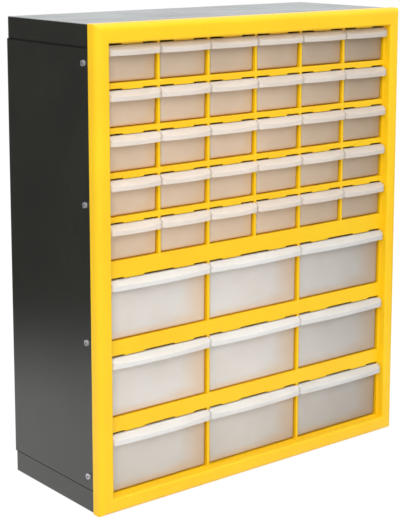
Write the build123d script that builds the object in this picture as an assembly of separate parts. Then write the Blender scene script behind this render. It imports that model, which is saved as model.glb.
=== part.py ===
from build123d import *
from dataclasses import dataclass
import os

# Parts bin cabinet: a folded steel case, one moulded front frame with a grid of openings, and
# thirty-nine frosted drawers that pull out forwards.
# Millimetres. +X is to the right seen from the front, -Y is out of the front, +Z is up.
# The origin is the centre of the footprint.

# ---- overall -----------------------------------------------------------------------------------
CABINET_WIDTH = 380.0        # over the moulded frame
CABINET_HEIGHT = 452.0
CASE_DEPTH = 138.0           # steel case, front edge to back
RIM_DEPTH = 14.0             # the moulded rim stands this far in front of the case

# ---- sheet-metal case --------------------------------------------------------------------------
SHEET = 0.8                  # sheet thickness
CASE_INSET = 0.6             # outer face of the wrap lies this far inside the frame's outline
STRIP_HEIGHT = 21.5          # band of each tray that shows above and below the wrap
TRAY_FLANGE = 30.0           # full height of a tray's flanges
WRAP_BEND = 2.5              # outer radius of the wrap's two rear bends
TRAY_BEND = 1.2              # outer radius where a tray's plate turns into its flanges
TRAY_RELIEF = 2.2            # corner cut that parts the rear flange from the side flanges
KEYHOLE_SPACING = 280.0      # between the two wall-hanging keyholes
KEYHOLE_DROP = 46.0          # keyhole entry below the cabinet's top
KEYHOLE_ENTRY_RADIUS = 4.5
KEYHOLE_SLOT_WIDTH = 4.6
KEYHOLE_SLOT_RISE = 9.0

# ---- moulded front frame -----------------------------------------------------------------------
FRAME_WALL = 2.4             # general wall of the moulding
RIM_WIDTH = 14.0             # outer side to the inner edge of the rim's flat front
RIM_ROUND = 7.0              # outer edge of the rim
RECESS_DEPTH = 8.2           # rim front back to the face of the grid
RECESS_DRAFT = 1.0           # lean of the recess wall over its depth
GRID_DEPTH = 12.0            # posts and rails, front to back
SIDE_LEDGE = 1.8             # grid face left beside the outer openings
TOP_LEDGE = 3.6              # grid face left above the top row
BOTTOM_LEDGE = 2.0           # grid face left below the bottom row
POST_WIDTH = 2.8
SMALL_RAIL = 5.7             # between rows of small drawers
MIDDLE_RAIL = 17.1           # between the small and the large drawers
LARGE_RAIL = 15.2            # between rows of large drawers
RAIL_SHELL = 1.6             # top and bottom wall of a hollow rail
TAB_WIDTH = 23.0             # stop tab that hangs over each column
SLOT_HEIGHT = 2.5            # slots between the tabs, above the openings
SKIRT_INSET = 2.7            # skirt that slips inside the case, from the frame's outline
SKIRT_WALL = 2.2
SKIRT_LENGTH = 16.0

# ---- guide arms behind the posts ---------------------------------------------------------------
ARM_LENGTH = 58.0            # behind the grid
ARM_FIN = 1.8                # thickness of the upright fin
ARM_FIN_FRONT = 6.5          # fin height at the grid
ARM_FIN_REAR = 3.0           # fin height at the arm's end
ARM_LEDGE = 5.0              # ledge under each drawer's edge
ARM_LEDGE_THICKNESS = 1.6

# ---- drawer layout -----------------------------------------------------------------------------
SMALL_COLUMNS = 6
SMALL_ROWS = 5
LARGE_ROWS = 3
COLUMNS_PER_LARGE = 2
SMALL_OPENING_HEIGHT = 34.7

# ---- drawers -----------------------------------------------------------------------------------
DRAWER_LENGTH = 136.0
DRAWER_WALL = 1.2
DRAWER_FRONT_WALL = 1.5
DRAWER_SETBACK = 1.3         # drawer front behind the face of the grid
DRAWER_CORNER = 2.2          # slope along the two bottom edges
DRAWER_LEAN = 0.9            # each side leans in by this much from top to bottom
SIDE_CLEARANCE = 0.6
TOP_CLEARANCE = 0.7
REST_CLEARANCE = 0.3         # drawer floor over its guides
EAR_WIDTH = 14.0             # stop ear on the drawer's back wall
EAR_HEIGHT = 1.8
INNER_CORNER = 1.5           # the same slope inside, for an even wall
LIP_REACH = 9.0              # lip in front of the drawer front, at its middle
LIP_LANDING = 1.2            # level part before the lip slopes down
LIP_SLOPE_DROP = 5.2
LIP_DROP = 9.0
LIP_WALL = 1.3
LIP_BOW = 2.2                # the lip's ends lie this far behind its middle
LIP_GAP = 1.0                # between neighbouring lips
LIP_CLEARANCE = 0.3          # between the lip's wings and the face of the grid
LIP_CORNER = 3.0             # slope across the lip's two front corners, in plan
LIP_INNER_CORNER = 2.2       # the same inside, for an even wall

# ---- dividers in the large drawers -------------------------------------------------------------
DIVIDER_THICKNESS = 1.2
DIVIDER_CLEARANCE = 0.3
DIVIDER_DROP = 4.0           # top of the divider below the drawer's top
GROOVE_RIB = 1.0             # ribs that hold the divider on each side wall

# ---- screws ------------------------------------------------------------------------------------
SCREWS_PER_SIDE = 4
SCREW_PITCH = 127.4
SCREW_SETBACK = 7.5          # behind the front edge of the case
SCREW_SHANK_RADIUS = 1.5
SCREW_LENGTH = 8.0
SCREW_HEAD_RADIUS = 3.2
SCREW_HEAD_HEIGHT = 1.8
SCREW_HEAD_EASE = 0.8        # slope round the top of the head
SCREW_FLATS = 6              # flats round a shank and its holes, twice as many round a head
SCREW_HOLE_CLEARANCE = 0.3   # hole in the sheet
SCREW_PILOT_CLEARANCE = 0.1  # hole in the moulding
BOSS_WIDTH = 8.0
BOSS_DEPTH = 5.0

# ---- places worked out from the sizes above ----------------------------------------------------
TOTAL_DEPTH = RIM_DEPTH + CASE_DEPTH
Y_FRONT = -TOTAL_DEPTH / 2
Y_CASE = Y_FRONT + RIM_DEPTH
Y_BACK = TOTAL_DEPTH / 2
Y_GRID = Y_FRONT + RECESS_DEPTH
Y_GRID_BACK = Y_GRID + GRID_DEPTH
Y_DRAWER = Y_GRID + DRAWER_SETBACK
GRID_INSET = RIM_WIDTH + RECESS_DRAFT          # grid outline, from the frame's outline
WRAP_OUTER = CABINET_WIDTH / 2 - CASE_INSET    # half width over the wrap
WRAP_INNER = WRAP_OUTER - SHEET
OPENING_WIDTH = (
    CABINET_WIDTH - 2 * (GRID_INSET + SIDE_LEDGE) - (SMALL_COLUMNS - 1) * POST_WIDTH
) / SMALL_COLUMNS
COLUMN_PITCH = OPENING_WIDTH + POST_WIDTH
LARGE_OPENING_HEIGHT = (
    CABINET_HEIGHT
    - 2 * GRID_INSET
    - TOP_LEDGE
    - BOTTOM_LEDGE
    - SMALL_ROWS * SMALL_OPENING_HEIGHT
    - (SMALL_ROWS - 1) * SMALL_RAIL
    - MIDDLE_RAIL
    - (LARGE_ROWS - 1) * LARGE_RAIL
) / LARGE_ROWS


@dataclass(frozen=True)
class Bay:
    """One opening of the grid, with the drawer that fills it."""

    name: str
    x: float        # centre
    z: float        # lower edge of the opening
    columns: int    # columns of the grid that it spans
    height: float   # lower edge to the underside of the stop tabs

    @property
    def width(self):
        return self.columns * COLUMN_PITCH - POST_WIDTH

    @property
    def column_centres(self):
        """X of each grid column that the bay spans, from the bay's centre."""
        first = -(self.columns - 1) * COLUMN_PITCH / 2
        return [first + index * COLUMN_PITCH for index in range(self.columns)]


def bay_row(kind, row, z, columns, height):
    """All bays of one row, left to right."""
    count = SMALL_COLUMNS // columns
    pitch = columns * COLUMN_PITCH
    bays = []
    for index in range(count):
        x = (index - (count - 1) / 2) * pitch
        bays.append(Bay(f"drawer_{kind}_r{row}_c{index + 1}", x, z, columns, height))
    return bays


def layout():
    """Rows of bays from the top down: the small rows, then the large ones."""
    rows = []
    top = CABINET_HEIGHT - GRID_INSET - TOP_LEDGE
    for row in range(1, SMALL_ROWS + 1):
        bottom = top - SMALL_OPENING_HEIGHT
        rows.append(bay_row("small", row, bottom, 1, SMALL_OPENING_HEIGHT))
        top = bottom - SMALL_RAIL
    top += SMALL_RAIL - MIDDLE_RAIL
    for row in range(1, LARGE_ROWS + 1):
        bottom = top - LARGE_OPENING_HEIGHT
        rows.append(bay_row("large", row, bottom, COLUMNS_PER_LARGE, LARGE_OPENING_HEIGHT))
        top = bottom - LARGE_RAIL
    return rows


# ---- shape helpers -----------------------------------------------------------------------------
def block(x, y, z):
    """Box given by its low and high limits along X, Y and Z."""
    spans = (x, y, z)
    centre = [(low + high) / 2 for low, high in spans]
    size = [high - low for low, high in spans]
    return Pos(*centre) * Box(*size)


def inset_block(inset, y):
    """Block over the whole front, drawn in on all four sides."""
    half = CABINET_WIDTH / 2 - inset
    return block((-half, half), y, (inset, CABINET_HEIGHT - inset))


def along_y(sketch, y_near, y_far):
    """Sketch drawn in X and Z, extruded from y_near back to y_far."""
    return extrude(Plane.XZ.offset(-y_near) * sketch, amount=y_far - y_near, dir=(0, 1, 0))


def tub_section(top_width, low, high, corner):
    """Drawer cross-section: sides that lean in towards a floor with eased corners."""
    lean = DRAWER_LEAN * 2
    outline = Polyline(
        (-top_width / 2, high),
        (-(top_width - lean) / 2, low),
        ((top_width - lean) / 2, low),
        (top_width / 2, high),
        close=True,
    )
    face = make_face(outline)
    return chamfer(face.vertices().sort_by(Axis.Y)[:2], corner)


# ---- moulded front frame -----------------------------------------------------------------------
def rim():
    """Rounded rim, hollow from behind, with the solid field that the grid is cut from."""
    body = inset_block(0, (Y_FRONT, Y_CASE))
    body = fillet(body.faces().sort_by(Axis.Y)[0].edges(), RIM_ROUND)
    channel_outer = inset_block(FRAME_WALL, (Y_FRONT + FRAME_WALL, Y_CASE - FRAME_WALL))
    channel_outer = fillet(channel_outer.faces().sort_by(Axis.Y)[0].edges(), RIM_ROUND - FRAME_WALL)
    mouth = inset_block(SKIRT_INSET + SKIRT_WALL, (Y_CASE - FRAME_WALL, Y_CASE))
    field = inset_block(GRID_INSET - FRAME_WALL, (Y_FRONT, Y_GRID_BACK))
    body -= (channel_outer + mouth) - field
    body += inset_block(GRID_INSET - FRAME_WALL, (Y_GRID, Y_GRID_BACK))
    front = Rectangle(CABINET_WIDTH - 2 * RIM_WIDTH, CABINET_HEIGHT - 2 * RIM_WIDTH)
    floor = Rectangle(CABINET_WIDTH - 2 * GRID_INSET, CABINET_HEIGHT - 2 * GRID_INSET)
    centre = Pos(0, CABINET_HEIGHT / 2)
    near = Plane.XZ.offset(-Y_FRONT) * centre * front
    far = Plane.XZ.offset(-Y_GRID) * centre * floor
    return body - loft([near, far])


def opening_cut(bay):
    """Cutter for one opening: the opening itself and the slots between its stop tabs."""
    half = bay.width / 2
    depth = (Y_GRID, Y_GRID_BACK)
    top = bay.z + bay.height
    cut = block((bay.x - half, bay.x + half), depth, (bay.z, top + SLOT_HEIGHT))
    for offset in bay.column_centres:
        centre = bay.x + offset
        tab = (centre - TAB_WIDTH / 2, centre + TAB_WIDTH / 2)
        cut -= block(tab, depth, (top, top + SLOT_HEIGHT))
    return cut


def rail_hollow(upper_row, lower_row):
    """Pockets behind a wide rail, one between each pair of upright posts of the lower row."""
    depth = (Y_GRID + FRAME_WALL, Y_GRID_BACK)
    low = lower_row[0].z + lower_row[0].height + SLOT_HEIGHT + RAIL_SHELL
    high = upper_row[0].z - RAIL_SHELL
    return [
        block((bay.x - bay.width / 2, bay.x + bay.width / 2), depth, (low, high))
        for bay in lower_row
    ]


def guide_arm(x, z, left_ledge, right_ledge):
    """Arm that runs back from a post: an upright fin that tapers in height, over a level ledge."""
    start = Y_GRID_BACK
    end = start + ARM_LENGTH
    half = ARM_FIN / 2
    under = z - ARM_LEDGE_THICKNESS
    side_view = Polyline(
        (start, under), (start, z + ARM_FIN_FRONT), (end, z + ARM_FIN_REAR), (end, under), close=True
    )
    fin = extrude(Plane.YZ.offset(x - half) * make_face(side_view), amount=ARM_FIN)
    ledge = block((x - half - left_ledge, x + half + right_ledge), (start, end), (under, z))
    return fin + ledge


def guide_arms(row):
    """The arms of one row: an L at each end of the row and a T behind each post."""
    first, last = row[0], row[-1]
    post_edge = (POST_WIDTH - ARM_FIN) / 2
    overlap = ARM_LEDGE + post_edge
    left = first.x - first.width / 2 - post_edge - ARM_FIN / 2
    right = last.x + last.width / 2 + post_edge + ARM_FIN / 2
    arms = [guide_arm(left, first.z, 0, overlap), guide_arm(right, last.z, overlap, 0)]
    for bay in row[1:]:
        arms.append(guide_arm(bay.x - (bay.width + POST_WIDTH) / 2, bay.z, overlap, overlap))
    return arms


def screw_places():
    """Z of each frame screw on one side, and the Y that they share."""
    middle = (SCREWS_PER_SIDE - 1) / 2
    heights = [CABINET_HEIGHT / 2 + (index - middle) * SCREW_PITCH for index in range(SCREWS_PER_SIDE)]
    return heights, Y_CASE + SCREW_SETBACK


def shank_prism(radius, side, x, length):
    """Prism along X that stands for a shank or its hole, from x inwards, at Z of zero."""
    profile = RegularPolygon(radius, SCREW_FLATS)
    return Pos(side * x, screw_places()[1], 0) * Rot(0, -90 * side, 0) * extrude(profile, length)


def cross_holes(radius, depth):
    """Cutters for every frame screw's hole, from outside each side of the cabinet inwards."""
    cutters = []
    for side in (-1, 1):
        cutter = shank_prism(radius, side, CABINET_WIDTH / 2, depth)
        cutters += [Pos(0, 0, z) * cutter for z in screw_places()[0]]
    return cutters


def skirt():
    """Skirt that slips inside the case, with a boss behind each frame screw."""
    depth = (Y_CASE - FRAME_WALL, Y_CASE + SKIRT_LENGTH)
    part = inset_block(SKIRT_INSET, depth) - inset_block(SKIRT_INSET + SKIRT_WALL, depth)
    heights, y = screw_places()
    outer = CABINET_WIDTH / 2 - SKIRT_INSET
    inner = outer - SKIRT_WALL - BOSS_DEPTH
    y_span = (y - BOSS_WIDTH / 2, y + BOSS_WIDTH / 2)
    for z in heights:
        z_span = (z - BOSS_WIDTH / 2, z + BOSS_WIDTH / 2)
        for x_span in ((inner, outer), (-outer, -inner)):
            part += block(x_span, y_span, z_span)
    return part


def front_frame(rows):
    """The whole moulding: rim, grid with stop tabs, guide arms, and the skirt inside the case."""
    part = rim()
    cuts = [opening_cut(bay) for row in rows for bay in row]
    for upper_row, lower_row in zip(rows[SMALL_ROWS - 1 :], rows[SMALL_ROWS:]):
        cuts += rail_hollow(upper_row, lower_row)
    part -= cuts
    arms = [arm for row in rows for arm in guide_arms(row)]
    part += arms
    part += skirt()
    pilot = SCREW_SHANK_RADIUS + SCREW_PILOT_CLEARANCE
    return part - cross_holes(pilot, SKIRT_INSET + SKIRT_WALL + BOSS_DEPTH)


# ---- sheet-metal case --------------------------------------------------------------------------
def keyhole(x):
    """Cutter for one keyhole in the back: a round entry with a slot that rises from it."""
    z = CABINET_HEIGHT - KEYHOLE_DROP
    through = (Y_BACK - SHEET, Y_BACK)
    entry = Pos(x, Y_BACK - SHEET / 2, z) * Rot(90, 0, 0) * Cylinder(KEYHOLE_ENTRY_RADIUS, SHEET)
    half = KEYHOLE_SLOT_WIDTH / 2
    top = z + KEYHOLE_SLOT_RISE
    slot = block((x - half, x + half), through, (z, top))
    end = Pos(x, Y_BACK - SHEET / 2, top) * Rot(90, 0, 0) * Cylinder(half, SHEET)
    return entry + slot + end


def case_wrap():
    """One sheet folded into both sides and the back."""
    z_span = (STRIP_HEIGHT, CABINET_HEIGHT - STRIP_HEIGHT)
    outer = block((-WRAP_OUTER, WRAP_OUTER), (Y_CASE, Y_BACK), z_span)
    outer = fillet(outer.edges().filter_by(Axis.Z).group_by(Axis.Y)[-1], WRAP_BEND)
    inner = block((-WRAP_INNER, WRAP_INNER), (Y_CASE, Y_BACK - SHEET), z_span)
    inner = fillet(inner.edges().filter_by(Axis.Z).group_by(Axis.Y)[-1], WRAP_BEND - SHEET)
    part = outer - inner
    part -= [keyhole(side * KEYHOLE_SPACING / 2) for side in (-1, 1)]
    return part - cross_holes(SCREW_SHANK_RADIUS + SCREW_HOLE_CLEARANCE, CASE_INSET + SHEET)


def tray(plate_face, inward):
    """Plate with three flanges tucked inside the wrap: plate_face is Z of its outer face."""
    rim_z = plate_face + inward * TRAY_FLANGE
    under_z = plate_face + inward * SHEET
    rear = Y_BACK - SHEET
    outline = block((-WRAP_INNER, WRAP_INNER), (Y_CASE, rear), sorted((plate_face, rim_z)))
    plate = outline.faces().sort_by(Axis.Z)[0 if inward > 0 else -1]
    rear_corners = outline.edges().filter_by(Axis.Z).group_by(Axis.Y)[-1]
    outer = fillet(plate.edges().sort_by(Axis.Y)[1:], TRAY_BEND) & chamfer(rear_corners, TRAY_RELIEF)
    half = WRAP_INNER - SHEET
    inner = block((-half, half), (Y_CASE, rear - SHEET), sorted((under_z, rim_z)))
    return outer - inner


def frame_screws(side):
    """The pan-head screws of one side, each a solid of its own."""
    heights, y = screw_places()
    head = extrude(RegularPolygon(SCREW_HEAD_RADIUS, 2 * SCREW_FLATS), SCREW_HEAD_HEIGHT)
    head = chamfer(head.faces().sort_by(Axis.Z)[-1].edges(), SCREW_HEAD_EASE)
    head = Pos(side * WRAP_OUTER, y, 0) * Rot(0, 90 * side, 0) * head
    screw = head + shank_prism(SCREW_SHANK_RADIUS, side, WRAP_OUTER, SCREW_LENGTH)
    return Compound(children=[Pos(0, 0, z) * screw for z in heights])


# ---- drawers -----------------------------------------------------------------------------------
def lip_plan(width, wall, rear, bow, corner):
    """Plan of the lip, drawn in by a wall's thickness. Bow draws its front edge through 3 points."""
    half = width / 2 - wall
    front = wall - LIP_REACH
    left, right = (-half, front + LIP_BOW), (half, front + LIP_BOW)
    ends = Polyline(right, (half, rear), (-half, rear), left)
    face = make_face(bow(left, (0, front), right) + ends)
    return chamfer(face.vertices().group_by(Axis.Y)[-2], corner)


def lip_prism(width, wall, top):
    """Side view of the lip over its whole width: level, then sloped, then straight down."""
    low = top - LIP_DROP
    side_view = Polyline(
        (DRAWER_FRONT_WALL, low),
        (DRAWER_FRONT_WALL, top - wall),
        (-LIP_LANDING, top - wall),
        (-LIP_REACH, top - wall - LIP_SLOPE_DROP),
        (-LIP_REACH, low),
        close=True,
    )
    return extrude(Plane.YZ.offset(-width / 2) * make_face(side_view), amount=width)


def lip(width, neck, top):
    """Pull lip: a sloped hood, bowed in plan, with a hem round its front and ends."""
    low = top - LIP_DROP
    wings_rear = -DRAWER_SETBACK - LIP_CLEARANCE
    outer_plan = lip_plan(width, 0, wings_rear, ThreePointArc, LIP_CORNER)
    inner_plan = lip_plan(width, LIP_WALL, 0, Polyline, LIP_INNER_CORNER)
    solid = Pos(0, 0, low) * extrude(outer_plan, LIP_DROP)
    solid += block((-neck / 2, neck / 2), (wings_rear, DRAWER_FRONT_WALL), (low, top))
    void = Pos(0, 0, low) * extrude(inner_plan, LIP_DROP)
    return (solid & lip_prism(width, 0, top)) - (void & lip_prism(width, LIP_WALL, top))


def drawer_sizes(bay):
    """Width and height over the drawer of one bay."""
    return bay.width - 2 * SIDE_CLEARANCE, bay.height - REST_CLEARANCE - TOP_CLEARANCE


def groove_ribs(width, height):
    """Two pairs of upright ribs, one pair on each side wall, that hold a divider."""
    half_gap = DIVIDER_THICKNESS / 2 + DIVIDER_CLEARANCE
    middle = DRAWER_LENGTH / 2
    low = DRAWER_CORNER + DRAWER_WALL
    inner = width / 2 - DRAWER_WALL
    reach = inner - DRAWER_LEAN - GROOVE_RIB
    ribs = []
    for side in (-1, 1):
        for near in (middle - half_gap - GROOVE_RIB, middle + half_gap):
            outline = Polyline(
                (side * reach, low),
                (side * (inner - DRAWER_LEAN + DRAWER_WALL / 2), low),
                (side * (inner + DRAWER_WALL / 2), height),
                (side * (inner - GROOVE_RIB), height),
                close=True,
            )
            ribs.append(along_y(make_face(outline), near, near + GROOVE_RIB))
    return ribs


def drawer(bay):
    """Frosted drawer with a bowed lip and a stop ear for each stop tab over it."""
    width, height = drawer_sizes(bay)
    part = along_y(tub_section(width, 0, height, DRAWER_CORNER), 0, DRAWER_LENGTH)
    inner_width = width - 2 * DRAWER_WALL
    cavity = tub_section(inner_width, DRAWER_WALL, height, INNER_CORNER)
    part -= along_y(cavity, DRAWER_FRONT_WALL, DRAWER_LENGTH - DRAWER_WALL)
    part += lip(bay.width + POST_WIDTH - LIP_GAP, width, height)
    rear = (DRAWER_LENGTH - DRAWER_WALL, DRAWER_LENGTH)
    for offset in bay.column_centres:
        span = (offset - EAR_WIDTH / 2, offset + EAR_WIDTH / 2)
        part += block(span, rear, (height, height + EAR_HEIGHT))
    if bay.columns > 1:
        part += groove_ribs(width, height)
    return Pos(bay.x, Y_DRAWER, bay.z + REST_CLEARANCE) * part


def divider(bay):
    """Frosted plate that drops between the ribs half way back in a large drawer."""
    width, height = drawer_sizes(bay)
    plate_width = width - 2 * (DRAWER_WALL + DIVIDER_CLEARANCE)
    low = DRAWER_WALL + DIVIDER_CLEARANCE
    section = tub_section(plate_width, low, height - DIVIDER_DROP, INNER_CORNER)
    near = (DRAWER_LENGTH - DIVIDER_THICKNESS) / 2
    part = along_y(section, near, near + DIVIDER_THICKNESS)
    return Pos(bay.x, Y_DRAWER, bay.z + REST_CLEARANCE) * part


# ---- assembly ----------------------------------------------------------------------------------
def build():
    """Every node of the cabinet by name."""
    rows = layout()
    nodes = {
        "front_frame": front_frame(rows),
        "case_wrap": case_wrap(),
        "top_tray": tray(CABINET_HEIGHT - CASE_INSET, -1),
        "bottom_tray": tray(0, 1),
        "frame_screws_left": frame_screws(-1),
        "frame_screws_right": frame_screws(1),
    }
    for row in rows:
        for bay in row:
            nodes[bay.name] = drawer(bay)
            if bay.columns > 1:
                nodes[bay.name.replace("drawer_large", "divider")] = divider(bay)
    return nodes


os.makedirs("parts", exist_ok=True)
for node_name, shape in build().items():
    export_step(shape, f"parts/{node_name}.step")
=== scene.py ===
"""Parts bin cabinet: a dark steel case, one moulded yellow front frame and frosted drawers.

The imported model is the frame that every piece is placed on. Lengths are in metres.
"""

import logging
import math
from dataclasses import dataclass
from enum import Enum
from typing import Any, Sequence

import bmesh
import bpy
from mathutils import Euler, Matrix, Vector


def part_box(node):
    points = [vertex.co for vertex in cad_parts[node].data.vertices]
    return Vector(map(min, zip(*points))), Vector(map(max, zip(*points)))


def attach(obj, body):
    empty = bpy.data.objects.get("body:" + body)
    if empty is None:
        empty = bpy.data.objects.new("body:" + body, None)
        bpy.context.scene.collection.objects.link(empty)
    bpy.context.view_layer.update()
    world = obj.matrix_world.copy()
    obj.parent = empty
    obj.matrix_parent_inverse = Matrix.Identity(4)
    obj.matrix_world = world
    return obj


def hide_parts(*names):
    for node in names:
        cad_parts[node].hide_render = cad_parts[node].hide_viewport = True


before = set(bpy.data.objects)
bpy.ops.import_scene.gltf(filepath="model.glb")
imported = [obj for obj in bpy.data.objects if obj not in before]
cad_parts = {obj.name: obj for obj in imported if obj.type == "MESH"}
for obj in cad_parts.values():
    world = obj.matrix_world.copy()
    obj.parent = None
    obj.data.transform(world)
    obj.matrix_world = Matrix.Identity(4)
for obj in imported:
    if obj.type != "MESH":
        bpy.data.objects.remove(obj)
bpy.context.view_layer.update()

MM = 0.001
LOG = logging.getLogger("cabinet")

Point2 = tuple[float, float]
Span = tuple[float, float, float, float]
Colour = tuple[float, float, float, float]
Move = tuple[str, float, float]

WHITE: Colour = (1.0, 1.0, 1.0, 1.0)
EDGE_STEPS = 2  # faces across each eased edge


def colour(code: str) -> Colour:
    """Turn a screen colour into the linear colour that shaders use.

    Args:
        code: Six hexadecimal digits.

    Returns:
        Linear red, green and blue, with an alpha of 1.
    """
    channels = [int(code[start : start + 2], 16) / 255 for start in (0, 2, 4)]
    linear = [c / 12.92 if c <= 0.04045 else ((c + 0.055) / 1.055) ** 2.4 for c in channels]
    return (linear[0], linear[1], linear[2], 1.0)


class NodeBuilder:
    """Adds nodes to one tree, with their settings and inputs given by name."""

    def __init__(self, tree: bpy.types.NodeTree) -> None:
        """Keep the tree that nodes are added to."""
        self.tree = tree

    def add(self, kind: str, inputs: dict[Any, Any] | None = None, **settings: Any) -> bpy.types.Node:
        """Add one node.

        Args:
            kind: Blender's name for the node type.
            inputs: Socket name or index to a value, or to an output socket to link from.
            **settings: Attributes of the node itself.

        Returns:
            The new node.
        """
        node = self.tree.nodes.new(kind)
        for name, value in settings.items():
            setattr(node, name, value)
        for name, value in (inputs or {}).items():
            socket = node.inputs[name]
            if isinstance(value, bpy.types.NodeSocket):
                self.tree.links.new(value, socket)
            else:
                socket.default_value = value
        return node

    def math(self, operation: str, *values: Any) -> bpy.types.NodeSocket:
        """Add a Math node and return its result."""
        return self.add("ShaderNodeMath", dict(enumerate(values)), operation=operation).outputs[0]

    def mix(self, factor: Any, first: Any, second: Any, how: str = "MIX") -> bpy.types.NodeSocket:
        """Mix two colours and return the result."""
        inputs = {0: factor, 6: first, 7: second}
        return self.add("ShaderNodeMix", inputs, data_type="RGBA", blend_type=how).outputs[2]

    def span(self, value: Any, low: float, high: float, to_low: float, to_high: float) -> Any:
        """Add a Map Range node and return its result."""
        inputs = {"Value": value, "From Min": low, "From Max": high, "To Min": to_low, "To Max": to_high}
        return self.add("ShaderNodeMapRange", inputs).outputs["Result"]


def new_group(
    name: str, kind: str, inputs: Sequence[tuple[str, str, Any]], outputs: Sequence[tuple[str, str]]
) -> tuple[NodeBuilder, bpy.types.Node, bpy.types.Node]:
    """Make a node group with named sockets.

    Args:
        name: Name of the group.
        kind: Type of the tree.
        inputs: Name, socket type and default of each input.
        outputs: Name and socket type of each output.

    Returns:
        A builder on the group, its input node and its output node.
    """
    group = bpy.data.node_groups.new(name, kind)
    for label, socket_type, default in inputs:
        socket = group.interface.new_socket(label, in_out="INPUT", socket_type=socket_type)
        if default is not None:
            socket.default_value = default
    for label, socket_type in outputs:
        group.interface.new_socket(label, in_out="OUTPUT", socket_type=socket_type)
    builder = NodeBuilder(group)
    return builder, builder.add("NodeGroupInput"), builder.add("NodeGroupOutput")


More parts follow.
